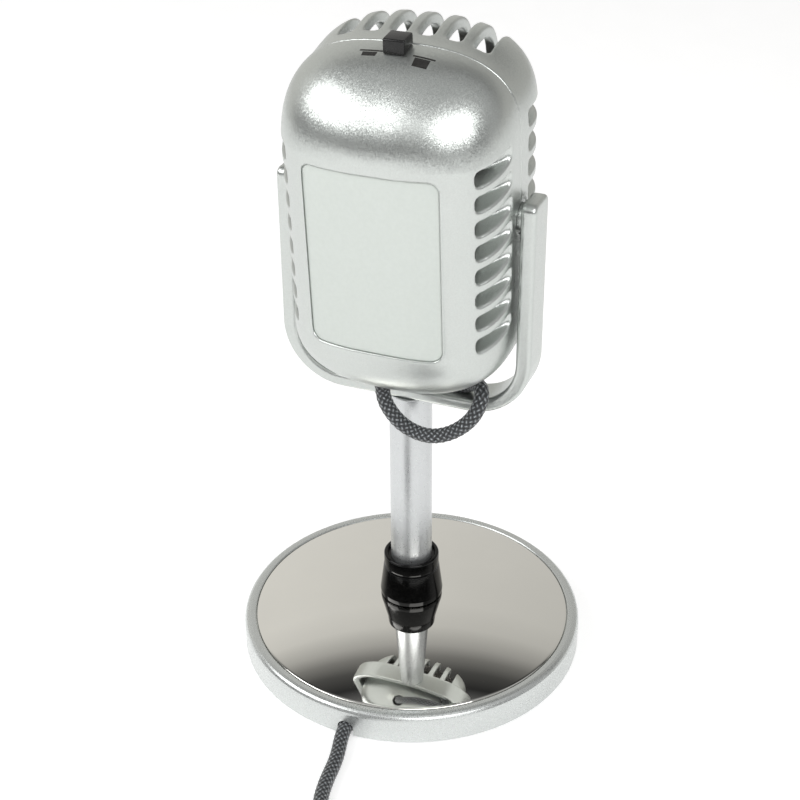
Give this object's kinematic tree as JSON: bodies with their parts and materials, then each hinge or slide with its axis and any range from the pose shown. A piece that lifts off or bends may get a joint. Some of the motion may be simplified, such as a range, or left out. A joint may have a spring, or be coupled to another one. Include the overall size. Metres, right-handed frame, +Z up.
{
  "type": "desktop microphone",
  "caption": "Retro desktop microphone: slotted capsule-shaped head tilting in a U yoke on a tubular stem with a round weighted base and a braided cord.",
  "frame": {"origin": "centre of the round base's underside, on the surface it stands on", "axes": "+Z up along the stem; the slotted front grille faces -Y; the label plate, the slide switch and the cord are on the +Y side; +X along the head's tilt axis"},
  "size_m": [0.1, 0.2096, 0.1878],
  "materials": {
    "silver_paint": "satin metallic silver paint",
    "silver_plastic": "satin metallic silver paint over plastic",
    "mirror_chrome": "mirror polished",
    "weight_iron": "plain",
    "black_plastic": "matt",
    "black_rubber": "matt",
    "screw_steel": "zinc plated",
    "gloss_black": "gloss",
    "stem_silver": "satin silver paint",
    "label_white": "satin white",
    "dark_foam": "open cell foam",
    "capsule_metal": "satin",
    "board_green": "solder mask",
    "tie_nylon": "natural nylon",
    "wire_red": "wire insulation",
    "cord_braid": "dark grey braid with light flecks",
    "tie_black": "hook and loop strap",
    "plug_nickel": "nickel plated"
  },
  "bodies": {
    "stand": {"base_shell": "silver_plastic", "base_mirror_plate": "mirror_chrome", "base_weight": "weight_iron", "base_bottom_cover": "black_plastic", "base_foot_pads": "black_rubber", "base_cover_screws": "screw_steel", "base_cord_clamp": "black_plastic", "base_clamp_screws": "screw_steel", "stem_collar": "gloss_black", "stem_tube": "stem_silver", "stem_flange": "screw_steel", "stem_flange_screws": "screw_steel", "yoke": "silver_paint", "yoke_inner_cover": "silver_paint", "yoke_spigot": "screw_steel", "pivot_pins": "screw_steel", "cord_loop": "cord_braid", "cord_in_stem": "cord_braid", "cord_tail": "cord_braid", "cord_coil": "cord_braid", "cord_end": "cord_braid", "cord_tie": "tie_black", "plug_body": "gloss_black", "plug_pin": "plug_nickel", "plug_rings": "black_plastic"},
    "head": {"rear_shell": "silver_plastic", "front_grille_shell": "silver_plastic", "label_plate": "label_white", "shell_screws": "screw_steel", "pivot_bushes": "black_plastic", "pivot_washers": "black_rubber", "foam_rear": "dark_foam", "foam_front": "dark_foam", "mic_capsule": "capsule_metal", "capsule_boot": "black_rubber", "capsule_bracket": "black_plastic", "switch_body": "capsule_metal", "switch_board": "board_green", "switch_board_screws": "screw_steel", "head_cord_grommet": "black_rubber", "head_cord_knot": "tie_nylon", "head_wires": "wire_red"},
    "switch": {"switch_knob": "gloss_black"}
  },
  "joints": [
    {"name": "head_tilt", "type": "hinge", "parent": "stand", "child": "head", "pos_m": [0, 0, 0.142], "axis": [-1, 0, 0], "range_deg": [-25, 10], "deforming": ["cord_loop"]},
    {"name": "switch_slide", "type": "slide", "parent": "head", "child": "switch", "axis": [1, 0, 0], "range_m": [-0.001, 0.001]}
  ]
}
